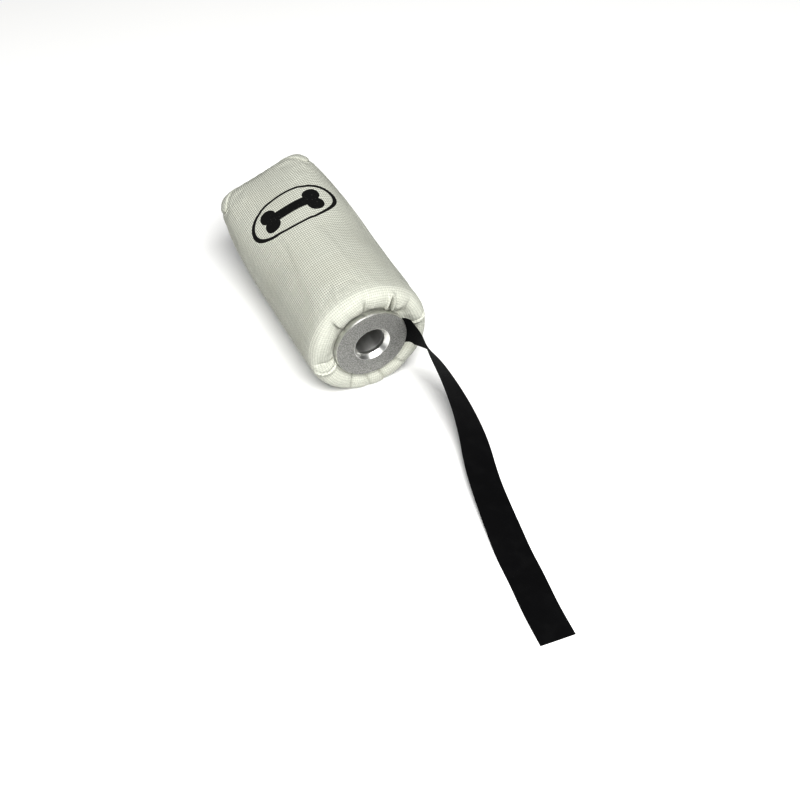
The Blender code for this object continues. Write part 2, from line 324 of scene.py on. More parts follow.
def weave_nodes(n, x, y):
    """Plain weave from two running coordinates: height, a mask of painted shade in the gaps between
    threads, and a random tone for each thread.
    """
    wave_x = n.math("SINE", n.math("MULTIPLY", x, math.pi / WARP_PITCH))
    wave_y = n.math("SINE", n.math("MULTIPLY", y, math.pi / WEFT_PITCH))
    warp_up = n.smooth(n.math("MULTIPLY", wave_x, wave_y), -0.15, 0.15)
    size_x = n.math("ABSOLUTE", wave_x)
    size_y = n.math("ABSOLUTE", wave_y)
    warp = n.math("MULTIPLY", n.math("POWER", size_x, 0.95), n.math("POWER", size_y, 0.6))
    weft = n.math("MULTIPLY", n.math("POWER", size_x, 0.6), n.math("POWER", size_y, 0.95))
    first = n.math("MULTIPLY", warp, warp_up)
    second = n.math("MULTIPLY", weft, n.math("SUBTRACT", 1.0, warp_up))
    height = n.math("ADD", first, second)
    beside_x = n.math("SUBTRACT", 1.0, size_x)
    beside_y = n.math("SUBTRACT", 1.0, size_y)
    # Painted shade: the pits and grooves between the threads are darkened in colour.
    pit_shade = n.smooth(n.math("MULTIPLY", beside_x, beside_y), 0.04, 0.45)
    groove_shade = n.smooth(n.math("MAXIMUM", beside_x, beside_y), 0.45, 1.0, 0.0, 0.42)
    gap_shade_mask = n.math("MAXIMUM", pit_shade, groove_shade)
    cell_x = n.math("FLOOR", n.math("DIVIDE", x, WARP_PITCH))
    cell_y = n.math("FLOOR", n.math("DIVIDE", y, WEFT_PITCH))
    shade = n.add("ShaderNodeTexWhiteNoise", noise_dimensions="2D")
    cell = n.add("ShaderNodeCombineXYZ")
    n.join(n.math("MULTIPLY", cell_x, warp_up), cell.inputs[0])
    n.join(n.math("MULTIPLY", cell_y, n.math("SUBTRACT", 1.0, warp_up)), cell.inputs[1])
    n.join(cell.outputs[0], shade.inputs["Vector"])
    return height, gap_shade_mask, shade.outputs["Value"]


def disc(n, x, y, centre_x, centre_y, radius_x, radius_y):
    """Below 1 inside an ellipse."""
    dx = n.math("DIVIDE", n.math("SUBTRACT", x, centre_x), radius_x)
    dy = n.math("DIVIDE", n.math("SUBTRACT", y, centre_y), radius_y)
    return n.math("SQRT", n.math("ADD", n.math("MULTIPLY", dx, dx), n.math("MULTIPLY", dy, dy)))


def print_mask(n, x, y):
    """A plain bone inside an oval ring: 1 where there is ink."""
    soft_share = 0.03
    soft_edge = 0.4
    oval = disc(n, x, y, 0.0, 0.0, RING_LONG, RING_SHORT)
    ring = n.math("ABSOLUTE", n.math("SUBTRACT", oval, 1.0))
    mask = n.smooth(ring, RING_HALF_LINE, RING_HALF_LINE + soft_share, 1.0, 0.0)
    bar_x = n.smooth(n.math("ABSOLUTE", x), BAR_HALF_LONG, BAR_HALF_LONG + soft_edge, 1.0, 0.0)
    bar_y = n.smooth(n.math("ABSOLUTE", y), BAR_HALF_WIDE, BAR_HALF_WIDE + soft_edge, 1.0, 0.0)
    mask = n.math("MAXIMUM", mask, n.math("MULTIPLY", bar_x, bar_y))
    for side_x in (-1, 1):
        for side_y in (-1, 1):
            centre_x = KNOB_ALONG * side_x
            centre_y = KNOB_ASIDE * side_y
            knob = disc(n, x, y, centre_x, centre_y, KNOB_RADIUS, KNOB_RADIUS)
            inked = n.smooth(knob, 1.0 - soft_share, 1.0 + soft_share, 1.0, 0.0)
            mask = n.math("MAXIMUM", mask, inked)
    return mask


def canvas_material(name, printed):
    """Off-white woven nylon canvas, a little soiled, with black ink in the weave where printed, and
    painted shade in the gaps between threads, in the creases and in the end seam.
    """
    light = rgb(0.575, 0.585, 0.53)
    dark = rgb(0.40, 0.405, 0.36)
    painted_gap_shade = rgb(0.15, 0.152, 0.125)
    painted_crease_shade = rgb(0.27, 0.27, 0.22)
    soiled = rgb(0.46, 0.45, 0.37)
    black = rgb(0.006, 0.006, 0.006)
    n = Nodes(name)
    x, y = n.uv("cloth")
    height, gap_shade_mask, shade = weave_nodes(n, x, y)
    place = n.place()
    cloth = n.mix(n.math("MULTIPLY", shade, 0.3), light, dark)
    fold, gathered = n.uv("fold")
    # Painted shade in the gaps between threads, weaker where the cloth is gathered.
    gap_shade_strength = n.math("SUBTRACT", 0.74, n.math("MULTIPLY", gathered, 0.42))
    cloth = n.mix(n.math("MULTIPLY", gap_shade_mask, gap_shade_strength), cloth, painted_gap_shade)
    # Painted shade: darker along the pleats' creases, in the nicks at the flange and in the end seam.
    cloth = n.mix(n.math("MULTIPLY", fold, 0.42), cloth, painted_crease_shade)
    height = n.math("MULTIPLY", height, n.math("SUBTRACT", 1.0, fold))
    soil = n.smooth(n.noise(place, 26.0, 5.0), 0.45, 0.75, 0.0, 0.16)
    cloth = n.mix(soil, cloth, soiled)
    if printed:
        across = n.math("SUBTRACT", PRINT_ANGLE * BARREL_RADIUS, x)
        along = n.math("SUBTRACT", y, PRINT_ALONG)
        ink = print_mask(n, across, along)
        ragged = n.math("MULTIPLY", n.math("SUBTRACT", height, 0.5), 0.3)
        ink = n.smooth(n.math("ADD", ink, ragged), 0.35, 0.6)
        worn = n.smooth(n.noise(place, 700.0, 2.0), 0.28, 0.36, 0.9, 0.99)
        cloth = n.mix(n.math("MULTIPLY", ink, worn), cloth, black)
    fibre = n.bump(n.noise(place, 3000.0, 2.0), 0.00005, 0.5)
    normal = n.bump(height, 0.0003, 1.0, fibre)
    return n.finish(cloth, 0.86, normal, Specular_IOR_Level=0.12)


def metal_material(name, colour, roughness, grain, grain_scale, grain_depth, turned=0.0, worn=0.25):
    """Metal with a fine grain and stains, and the circular lines of turning where turned."""
    stain_shade = 0.82
    n = Nodes(name)
    place = n.place()
    speck = n.noise(place, grain_scale, 4.0, 0.7)
    dark = rgb(*[c * (1 - grain) for c in colour])
    tone = n.mix(n.smooth(speck, 0.35, 0.65), dark, rgb(*colour))
    stain = n.smooth(n.noise(place, 60.0, 4.0), 0.5, 0.7, 0.0, worn)
    tone = n.mix(stain, tone, rgb(*[c * stain_shade for c in colour]))
    normal = n.bump(speck, grain_depth, 0.6)
    if turned:
        lines, _ = n.uv("turned")
        waves = n.math("SINE", n.math("MULTIPLY", lines, 20.0))
        normal = n.bump(waves, turned, 0.5, normal)
    smoother = roughness - 0.15 * worn
    rougher = roughness + 0.3 * worn
    rough = n.smooth(n.noise(place, 400.0, 3.0), 0.3, 0.7, smoother, rougher)
    return n.finish(tone, rough, normal, metallic=1.0)


def ribbon_material():
    """Black grosgrain: the ribs are modelled, and the nodes add thread and wear."""
    thread_pitch = 0.45
    n = Nodes("black_grosgrain")
    x, _ = n.uv("cloth")
    threads = n.math("ABSOLUTE", n.math("SINE", n.math("MULTIPLY", x, math.pi / thread_pitch)))
    place = n.place()
    patches = n.smooth(n.noise(place, 90.0, 4.0), 0.4, 0.7)
    tone = n.mix(patches, rgb(0.0025, 0.0025, 0.003), rgb(0.005, 0.005, 0.0055))
    fuzz = n.bump(n.noise(place, 4000.0, 2.0), 0.00003, 0.5)
    normal = n.bump(threads, 0.00006, 0.8, fuzz)
    return n.finish(tone, 0.7, normal, Specular_IOR_Level=0.12)


def thread_material():
    """Twisted sewing thread."""
    n = Nodes("sewing_thread")
    place = n.place()
    twist = n.add("ShaderNodeTexWave", wave_type="BANDS", bands_direction="DIAGONAL")
    n.join(place, twist.inputs["Vector"])
    twist.inputs["Scale"].default_value = 900.0
    tone = n.mix(twist.outputs["Fac"], rgb(0.56, 0.56, 0.50), rgb(0.72, 0.72, 0.66))
    return n.finish(tone, 0.7, n.bump(twist.outputs["Fac"], 0.0001, 0.6))


def foam_material():
    """Cream polyurethane foam with open cells."""
    n = Nodes("cream_foam")
    place = n.place()
    cells = n.add("ShaderNodeTexVoronoi")
    n.join(place, cells.inputs["Vector"])
    cells.inputs["Scale"].default_value = 900.0
    tone = n.mix(cells.outputs["Distance"], rgb(0.55, 0.49, 0.34), rgb(0.80, 0.74, 0.55))
    return n.finish(tone, 0.95, n.bump(cells.outputs["Distance"], 0.0004, 0.8))


def floor_material():
    """Pale matt studio paper."""
    n = Nodes("studio_paper")
    place = n.place()
    tone = n.mix(n.noise(place, 3.0, 2.0), rgb(0.84, 0.84, 0.84), rgb(0.87, 0.87, 0.87))
    return n.finish(tone, 0.9, n.bump(n.noise(place, 1200.0, 2.0), 0.00003, 0.2))


# ------------ mesh helpers

def new_object(name, mesh, materials):
    obj = bpy.data.objects.new(name, mesh)
    bpy.context.collection.objects.link(obj)
    for material in materials:
        mesh.materials.append(material)
    mesh.shade_smooth()
    return obj


def grid_mesh(name, points, fan_last=False, **uv_maps):
    """Quads over a grid of points that closes round, with UV maps given at each column edge."""
    rows, columns = points.shape[:2]
    mesh = bpy.data.meshes.new(name)
    verts = points.reshape(-1, 3).tolist()
    row = np.repeat(np.arange(rows - 1), columns)
    col = np.tile(np.arange(columns), rows - 1)
    nxt = (col + 1) % columns
    faces = np.stack([
        row * columns + col,
        (row + 1) * columns + col,
        (row + 1) * columns + nxt,
        row * columns + nxt,
    ], axis=1).tolist()
    corners = [
        ((r, c), (r + 1, c), (r + 1, c + 1), (r, c + 1)) for r, c in zip(row.tolist(), col.tolist())
    ]
    if fan_last:
        centre = len(verts)
        verts.append(points[-1].mean(axis=0).tolist())
        last = (rows - 1) * columns
        for c in range(columns):
            faces.append([last + c, centre, last + (c + 1) % columns])
            corners.append(((rows - 1, c), (rows - 1, c), (rows - 1, c + 1)))
    mesh.from_pydata(verts, [], faces)
    places = np.array([place for face in corners for place in face])
    for uv_name, uv in uv_maps.items():
        layer = mesh.uv_layers.new(name=uv_name)
        layer.data.foreach_set("uv", uv[places[:, 0], places[:, 1]].ravel())
    mesh.update()
    return mesh


def solidify(obj, thickness):
    modifier = obj.modifiers.new("Thickness", "SOLIDIFY")
    modifier.thickness = thickness
    modifier.offset = -1.0
    return obj


def smoothstep(value, low, high):
    t = np.clip((value - low) / (high - low), 0.0, 1.0)
    return t * t * (3 - 2 * t)


# ------------ cover shape

def cubic_blend(four, t):
    """A smooth curve between the middle two of four values, at t from 0 to 1."""
    a, b, c, d = four
    bend = (2 * a - 5 * b + 4 * c - d) * t**2 + (3 * b - a - 3 * c + d) * t**3
    return 0.5 * (2 * b + (c - a) * t + bend)


def station(value):
    """Depth, half width and squareness at fractional stations, on a smooth curve."""
    table = np.array(COVER_STATIONS)
    table = np.vstack([2 * table[0] - table[1], table, 2 * table[-1] - table[-2]])
    value = np.clip(value, 0, len(COVER_STATIONS) - 1.0001)
    row = np.floor(value).astype(int)
    out = cubic_blend([table[row + k] for k in range(4)], (value - row)[..., None])
    return out[..., 0], out[..., 1], out[..., 2]


def turned_by(angle, centre):
    """Signed angle from centre, between minus and plus half a turn."""
    return (angle - centre + math.pi) % math.tau - math.pi


def corner_share(angle):
    """1 at the boxed corners of the far end, 0 along its flats."""
    return (0.5 - 0.5 * np.cos(4 * (angle - FLATS_TURN))) ** EAR_POWER


def seam_station(angle):
    return SEAM_STATION - SEAM_RISE * corner_share(angle)


def cover_points(value, angle):
    """Points of the cover's plain outer surface, in metres."""
    depth, half, square = station(value)
    across = np.maximum(0.0, 1.0 - (turned_by(angle, DENT_CENTRE) / DENT_HALF_ANGLE) ** 4)
    dent = DENT_DEPTH * across * np.exp(-(((half - DENT_RADIUS) / DENT_SPREAD) ** 2))
    depth = depth + np.where(value < WIDEST_STATION, dent, 0.0)
    turn = angle - FLATS_TURN
    spread = np.abs(np.cos(turn)) ** square + np.abs(np.sin(turn)) ** square
    radius = half / spread ** (1 / square)
    x = radius * np.cos(angle)
    z = AXIS_HEIGHT / MM + radius * np.sin(angle)
    return np.stack([x * MM, MOUTH_Y + depth * MM, np.maximum(z, 0.0) * MM], axis=-1)


def running_length(points):
    """Length in millimetres down each column of a grid of points."""
    steps = np.linalg.norm(np.diff(points, axis=0), axis=-1) / MM
    return np.concatenate([np.zeros((1, points.shape[1])), np.cumsum(steps, axis=0)])


def even_stations(start, end, spacing):
    """Stations from start to end, spaced along the profile as spacing(depth, half) says."""
    fine = np.linspace(start, end, 4000)
    depth, half, _ = station(fine)
    step = np.hypot(np.diff(depth), np.diff(half)) / spacing(depth[1:], half[1:])
    count = np.concatenate([[0.0], np.cumsum(step)])
    rows = int(round(count[-1]))
    return np.interp(np.linspace(0, count[-1], rows + 1), count, fine)


def knife_pleat(away, height, roll):
    """Cloth folded over: it swells up to a rolled edge, drops sharply and lies low beside it."""
    side = smoothstep(away, -0.35, 0.35)
    swell = np.exp(-((away / 5.5) ** 2)) * (1 - side)
    low = 0.45 * np.exp(-((away / 1.0) ** 2)) + 0.3 * np.exp(-((away / 4.5) ** 2))
    edge = np.exp(-(((away + 0.75) / 0.6) ** 2)) - 0.4 * np.exp(-(((away + 2.3) / 0.9) ** 2))
    return height * (swell - low * side) + roll * edge


def looped_tuck(away, out, reach):
    """A pinched tuck: a raised rim that closes in a loop, round a narrow slot."""
    far = np.clip(out / reach, 0.0, 1.0)
    half = 2.5 * np.sqrt(1.0 - far**2.5)
    rim = np.exp(-(((np.abs(away) - half) / 1.0) ** 2))
    tip = np.exp(-((away / 2.2) ** 2) - (((out - reach) / 1.5) ** 2))
    slot = np.exp(-((away / 0.65) ** 2)) * (1 - smoothstep(out, reach - 4.5, reach - 1.5))
    return np.maximum(rim, tip) - 0.7 * slot


def pleat_line(pleat, out):
    """Angle of a pleat's line, out millimetres from the flange's rim."""
    at_rim, halfway, at_end, _, _, reach, _ = pleat
    t = np.clip(out / reach, 0.0, 1.3)
    ends = (1 - t) * (1 - 2 * t) * at_rim + t * (2 * t - 1) * at_end
    return np.radians(ends + 4 * t * (1 - t) * halfway)


def edge_notch(away, out):
    """A small nick in the cloth where a fold runs in under the flange, from 0 to 1."""
    return np.exp(-((away / 0.9) ** 2) - (((out - 1.5) / 1.5) ** 2))


def pleat_height(angle, out, radius):
    """Height in millimetres of the folds round the mouth, out millimetres from the flange's rim."""
    notch_depth = 1.3
    total = np.zeros_like(out)
    for pleat in PLEATS:
        _, _, _, height, roll, reach, kind = pleat
        away = turned_by(angle, pleat_line(pleat, out)) * radius
        if kind == 0:
            fold = height * looped_tuck(away, out, reach)
            fade = 1 - smoothstep(out, reach, reach + 2.5)
        else:
            fold = knife_pleat(kind * away, height, roll)
            fade = 1 - smoothstep(out, reach - 6.0, reach)
        total += fold * fade * smoothstep(out, -1.5, 2.0) - notch_depth * edge_notch(away, out)
    return total


def pleat_crease_shade(angle, out, radius):
    """How much painted shade a pleat's crease gets: up to 1 along a full crease, more in a nick at
    the flange.
    """
    darkest = 1.6
    deep_fold = 1.6
    to_crease = 0.35
    total = np.zeros_like(out)
    for pleat in PLEATS:
        _, _, _, height, _, reach, kind = pleat
        away = turned_by(angle, pleat_line(pleat, out)) * radius - to_crease * kind
        shown = smoothstep(out, -1.5, 1.0) * (1 - smoothstep(out, reach - 8.0, reach - 2.0))
        shown = shown * min(1.0, height / deep_fold)
        if kind == 0:
            shown = smoothstep(out, 1.5, 5.0) * (1 - smoothstep(out, reach - 3.0, reach - 1.0))
        # Painted shade along each crease, and more in the nick where a fold meets the flange.
        total += np.exp(-((away / 0.5) ** 2)) * shown + 1.5 * edge_notch(away, out)
    return np.minimum(total, darkest)


def as_uv(first, second):
    """Two values for each grid point as a UV map, with the first column repeated at the end."""
    both = np.stack([first, second], axis=-1)
    return np.concatenate([both, both[:, :1]], axis=1)


def to_pleats(angle, out):
    """Angle ahead to the next pleat, and back to the one before."""
    lines = np.stack([pleat_line(pleat, out) % math.tau for pleat in PLEATS])
    ahead = ((lines - angle) % math.tau).min(axis=0)
    behind = ((angle - lines) % math.tau).min(axis=0)
    return ahead, behind


def gore_middle(angle, out, radius):
    """Middle angle of the stretch of cloth between two pleats, or the angle itself at a pleat."""
    ahead, behind = to_pleats(angle, out)
    clear = smoothstep(np.minimum(ahead, behind) * radius, 0.0, 1.6)
    return angle + clear * (ahead - behind) / 2


def gore_puff(angle, out, radius):
    """Cloth swells a little between pleats, in millimetres."""
    ahead, behind = to_pleats(angle, out)
    wide = (ahead + behind) * radius
    share = ahead / (ahead + behind)
    shown = smoothstep(out, 0.0, 5.0) * (1 - smoothstep(out, 9.0, 19.0))
    return 0.09 * wide * (np.sin(math.pi * share) - 0.6) * shown


def lumps(points):
    """Slow unevenness of stuffed cloth, in millimetres."""
    x, y, z = (points[..., i] / MM for i in range(3))
    wave = np.sin(x / 13.0 + y / 19.0 + 1.3) * np.sin(z / 15.0 - y / 23.0)
    wave = wave + 0.6 * np.sin(x / 7.5 - z / 9.0 + y / 11.0 + 0.4) * np.sin(y / 8.5 + 2.1)
    return 0.16 * wave


def surface_normals(points):
    """Unit normals of a grid that closes round, pointing away from the bumper's axis and ends."""
    along = np.gradient(points, axis=0)
    around = (np.roll(points, -1, axis=1) - np.roll(points, 1, axis=1)) / 2
    normal = np.cross(along, around)
    normal /= np.maximum(np.linalg.norm(normal, axis=-1, keepdims=True), 1e-12)
    return normal


class Swell:
    """How far stuffed canvas moves from its plain shape, from a short cloth simulation."""

    FIRST_STATION = 7.0
    COLUMNS = 144
    SPACING = 2.2
    CAP = 0.35
    LAST_FRAME = 20

    def __init__(self):
        self.values = even_stations(
            self.FIRST_STATION, LAST_STATION, lambda depth, half: self.SPACING
        )
        self.field = np.zeros((len(self.values), self.COLUMNS))
        self.simulate()

    def simulate(self):
        """Fill the cover like a pillow, held at its mouth, far seam and underside; keep the bulge."""
        angles = np.linspace(0, math.tau, self.COLUMNS, endpoint=False)
        value, angle = np.meshgrid(self.values, angles, indexing="ij")
        start = cover_points(value, angle)
        normal = surface_normals(start)
        mesh = grid_mesh("swell", start, fan_last=True)
        pillow = bpy.data.objects.new("swell", mesh)
        bpy.context.collection.objects.link(pillow)
        held = pillow.vertex_groups.new(name="held")
        near_seam = np.abs(value - seam_station(angle)) < 0.35
        rests = start[..., 2] < 0.0006
        first = value < self.FIRST_STATION + 1.0
        indices = np.flatnonzero((near_seam | rests | first).ravel())
        held.add(indices.tolist(), 1.0, "REPLACE")
        cloth = pillow.modifiers.new("Cloth", "CLOTH").settings
        cloth.vertex_group_mass = "held"
        cloth.use_pressure = True
        cloth.uniform_pressure_force = 2.0
        cloth.effector_weights.gravity = 0.0
        cloth.mass = 0.02
        cloth.tension_stiffness = 400.0
        cloth.compression_stiffness = 400.0
        cloth.shear_stiffness = 10.0
        cloth.bending_stiffness = 0.05
        cloth.shrink_min = -0.004
        cloth.quality = 8
        scene = bpy.context.scene
        for frame_number in range(1, self.LAST_FRAME + 1):
            scene.frame_set(frame_number)
        shape = pillow.evaluated_get(bpy.context.evaluated_depsgraph_get()).data
        moved = np.empty(len(shape.vertices) * 3)
        shape.vertices.foreach_get("co", moved)
        moved = moved.reshape(-1, 3)[: start.size // 3].reshape(start.shape)
        bpy.data.objects.remove(pillow)
        bpy.data.meshes.remove(mesh)
        scene.frame_set(1)
        bulge = np.sum((moved - start) * normal, axis=-1) / MM
        self.field = self.CAP * np.tanh(bulge / self.CAP)

    def at(self, value, angle):
        """Outward movement in millimetres."""
        row = np.interp(value, self.values, np.arange(len(self.values)))
        column = (angle / math.tau * self.COLUMNS) % self.COLUMNS
        count, wide = self.field.shape
        row = np.clip(row, 0, count - 1.0001)
        r = np.floor(row).astype(int)
        c = np.floor(column).astype(int)
        across = []
        for i in (-1, 0, 1, 2):
            line = np.clip(r + i, 0, count - 1)
            near = [self.field[line, (c + k) % wide] for k in (-1, 0, 1, 2)]
            across.append(cubic_blend(near, column - c))
        return cubic_blend(across, row - r)


def sleeve_grid(swell):
    """Grid of the sleeve: points, UV in millimetres, painted crease shade and gather shares, and
    stations.
    """
    def spacing(depth, half):
        near = np.where(half < 25.0, 1.6, 0.5)
        return np.where(depth < 16.0, near, np.where(depth > 138.0, 0.8, 2.0))

    values = even_stations(0.0, SEAM_STATION, spacing)
    angles = np.linspace(0, math.tau, COLUMNS, endpoint=False)
    value, angle = np.meshgrid(values, angles, indexing="ij")
    tail = np.clip((value - 15.0) / (SEAM_STATION - 15.0), 0, 1)
    value = value - tail**2 * (SEAM_STATION - seam_station(angle))
    points = cover_points(value, angle)
    normal = surface_normals(points)
    along = running_length(points)
    radius = np.minimum(station(value)[1], BARREL_RADIUS)
    rim_row = np.argmax(radius[:, 0] > FLANGE_RADIUS)
    out = along - along[rim_row]
    from_seam = along[-1] - along

    height = pleat_height(angle, out, radius) + gore_puff(angle, out, radius)
    ripple = np.sin(angle * 17 + 0.7) + 0.7 * np.sin(angle * 29 + 2.0)
    height += 0.12 * ripple * smoothstep(out, 0.0, 3.0) * (1 - smoothstep(out, 6.0, 14.0))
    height += (lumps(points) + swell.at(value, angle)) * smoothstep(out, 6.0, 25.0)
    height += seam_pucker(from_seam, angle, inside=False)
    from_lap = turned_by(angle, SIDE_SEAM) * radius
    lap = smoothstep(from_lap, -LAP_HALF - LAP_EDGE, -LAP_HALF)
    lap = lap * (1 - smoothstep(from_lap, LAP_HALF, LAP_HALF + LAP_EDGE))
    height += LAP_HEIGHT * lap * smoothstep(out, 22.0, 30.0)
    height = height * smoothstep(out, -4.0, 0.5)

    points = points + normal * (height * MM)[..., None]
    points[..., 2] = np.maximum(points[..., 2], FLOOR_GAP)
    middle = gore_middle(angle, out, radius)
    gathered = middle * BARREL_RADIUS + (angle - middle) * radius
    wide = np.where(out < 24.0, gathered, angle * BARREL_RADIUS)
    wide = np.concatenate([wide, wide[:, :1] + math.tau * BARREL_RADIUS], axis=1)
    tall = np.concatenate([along, along[:, :1]], axis=1)
    # Painted shade for the creases and nicks of the pleats and for the dip of the end seam.
    fold = pleat_crease_shade(angle, out, radius) + 0.7 * np.exp(-((from_seam / 0.8) ** 2))
    gathered_share = 1 - smoothstep(out, 14.0, 34.0)
    return points, np.stack([wide, tall], axis=-1), as_uv(fold, gathered_share), value


def seam_pucker(distance, angle, inside):
    """The cloth dips into the end seam and puckers beside it, most at the boxed corners."""
    dip = -0.55 * np.exp(-((distance / 0.7) ** 2)) - 0.15 * np.exp(-((distance / 2.5) ** 2))
    wave = np.sin(angle * 37) + 0.6 * np.sin(angle * 23 + 1.0)
    corner = corner_share(angle)
    pucker = 0.12 * wave * np.exp(-(((distance - 2.5) / 3.0) ** 2))
    if inside:
        shape = 0.2 * corner * smoothstep(distance, 0.2, 2.5) * (1 - smoothstep(distance, 3.5, 9.0))
    else:
        shape = -0.7 * corner * np.exp(-(((distance - 3.2) / 2.4) ** 2))
    return dip + pucker + shape


def panel_grid(swell):
    """Grid of the end panel: points, UV in millimetres, and painted crease shade and gather shares.
    """
    angles = np.linspace(0, math.tau, COLUMNS // 2, endpoint=False)
    fractions = np.linspace(0, 1, PANEL_ROWS)
    fraction, angle = np.meshgrid(fractions, angles, indexing="ij")
    start = seam_station(angle)
    value = start + (LAST_STATION - start) * fraction
    points = cover_points(value, angle)
    normal = surface_normals(points)
    along = running_length(points)
    height = seam_pucker(along, angle, inside=True) + lumps(points) * smoothstep(along, 2.0, 10.0)
    height += swell.at(value, angle)
    points = points + normal * (height * MM)[..., None]
    points[..., 2] = np.maximum(points[..., 2], FLOOR_GAP)
    inward = np.linspace(0.0, 0.97, MIDDLE_RINGS + 1)[1:, None, None]
    middle = points[-1].mean(axis=0)
    points = np.concatenate([points, points[-1] * (1 - inward) + middle * inward])
    flat = np.stack([points[..., 0] / MM, points[..., 2] / MM], axis=-1)
    cos, sin = math.cos(FLATS_TURN), math.sin(FLATS_TURN)
    flat = flat @ np.array([[cos, -sin], [sin, cos]])
    flat = np.concatenate([flat, flat[:, :1]], axis=1)
    fold = np.zeros(points.shape[:2])
    # Painted shade in the dip of the end seam.
    fold[:PANEL_ROWS] = 0.7 * np.exp(-((along / 0.8) ** 2))
    tight = np.zeros(points.shape[:2])
    tight[:PANEL_ROWS] = corner_share(angle) * (1 - smoothstep(along, 8.0, 16.0))
    return points, flat, as_uv(fold, tight)


def along_at_depth(depth):
    """Running length of the sleeve's profile at a depth, as its UV counts it."""
    values = np.linspace(0.0, SEAM_STATION, 4000)
    depths, halves, _ = station(values)
    length = np.concatenate([[0.0], np.cumsum(np.hypot(np.diff(depths), np.diff(halves)))])
    barrel = values > 10
    return float(np.interp(depth, depths[barrel], length[barrel]))


PRINT_ALONG = along_at_depth(PRINT_DEPTH)


def make_sleeve(material, points, uv, fold):
    mesh = grid_mesh("canvas_sleeve", points, cloth=uv, fold=fold)
    sleeve = solidify(new_object("canvas_sleeve", mesh, [material]), CLOTH_THICK * MM)
    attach(sleeve, "root")
    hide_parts("cover_sleeve")


def make_end_panel(material, points, uv, fold):
    mesh = grid_mesh("canvas_end_panel", points, fan_last=True, cloth=uv, fold=fold)
    panel = solidify(new_object("canvas_end_panel", mesh, [material]), CLOTH_THICK * MM)
    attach(panel, "root")
    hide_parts("cover_end_panel")


# ------------ stitches

def path_length(path):
    """Length in millimetres from the start of a path to each of its points."""
    steps = np.linalg.norm(np.diff(path, axis=0), axis=1)
    return np.concatenate([[0.0], np.cumsum(steps)]) / MM


def add_stitch(bm, path, run, start):
    """One stitch: a short thread that rises from the cloth and dives back, along a path."""
    rings = []
    for fraction in np.linspace(0, 1, STITCH_RINGS):
        at = start + fraction * STITCH_LENGTH
        here = np.array([np.interp(at, run, path[:, k]) for k in range(3)])
        ahead = np.array([np.interp(at + 0.3, run, path[:, k]) for k in range(3)]) - here
        ahead /= max(np.linalg.norm(ahead), 1e-9)
        outward = outward_of(here)
        side = np.cross(ahead, outward)
        arch = math.sin(math.pi * fraction)
        thick = STITCH_RADIUS * (0.35 + 0.65 * arch**0.5) * MM
        centre = here + outward * (0.42 * arch - 0.25) * MM
        ring = []
        for corner in range(STITCH_SIDES):
            turn = math.tau * corner / STITCH_SIDES
            offset = side * math.cos(turn) + outward * math.sin(turn)
            ring.append(bm.verts.new(centre + offset * thick))
        rings.append(ring)
    for near, far in zip(rings, rings[1:]):
        for corner in range(STITCH_SIDES):
            after = (corner + 1) % STITCH_SIDES
            bm.faces.new((near[corner], near[after], far[after], far[corner]))
    bm.faces.new(rings[0][::-1])
    bm.faces.new(rings[-1])


def make_stitches(name, path, node, material):
    """A row of stitches along a path."""
    path = np.array(path)
    run = path_length(path)
    count = int(run[-1] // (STITCH_LENGTH + STITCH_GAP))
    bm = bmesh.new()
    for i in range(count):
        add_stitch(bm, path, run, (i + 0.5) * run[-1] / count - STITCH_LENGTH / 2)
    bmesh.ops.recalc_face_normals(bm, faces=bm.faces)
    mesh = bpy.data.meshes.new(name)
    bm.to_mesh(mesh)
    bm.free()
    stitches = new_object(name, mesh, [material])
    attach(stitches, "root")
    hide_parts(node)


def outward_of(point):
    """Away from the axis on the barrel, and mostly away from the mouth on the end panel."""
    depth = (point[1] - MOUTH_Y) / MM
    away = np.array([point[0], 0.0, point[2] - AXIS_HEIGHT])
    away /= max(np.linalg.norm(away), 1e-9)
    if depth > 158.0:
        away = 0.45 * away + np.array([0.0, 1.0, 0.0])
    return away / np.linalg.norm(away)


def side_seam_path(points, value, offset):
    """A line along the side seam, on the sleeve's grid, offset millimetres round the barrel."""
    angle = (SIDE_SEAM + offset / BARREL_RADIUS) % math.tau
    column = int(round(angle / math.tau * COLUMNS)) % COLUMNS
    chosen = (value[:, column] > 9.9) & (value[:, column] < 18.2)
    return points[chosen, column]


def end_panel_path(points):
    """A line round the end panel, on its own grid, at one station."""
    lowest = 0.0006
    angles = np.linspace(0, math.tau, points.shape[1], endpoint=False)
    start = seam_station(angles)
    row = (PANEL_STITCH_STATION - start) / (LAST_STATION - start) * (PANEL_ROWS - 1)
    low = np.floor(row).astype(int)
    column = np.arange(points.shape[1])
    share = (row - low)[:, None]
    path = points[low, column] * (1 - share) + points[low + 1, column] * share
    path[:, 2] = np.maximum(path[:, 2], lowest)
    return np.vstack([path, path[:1]])


# ------------ turned metal

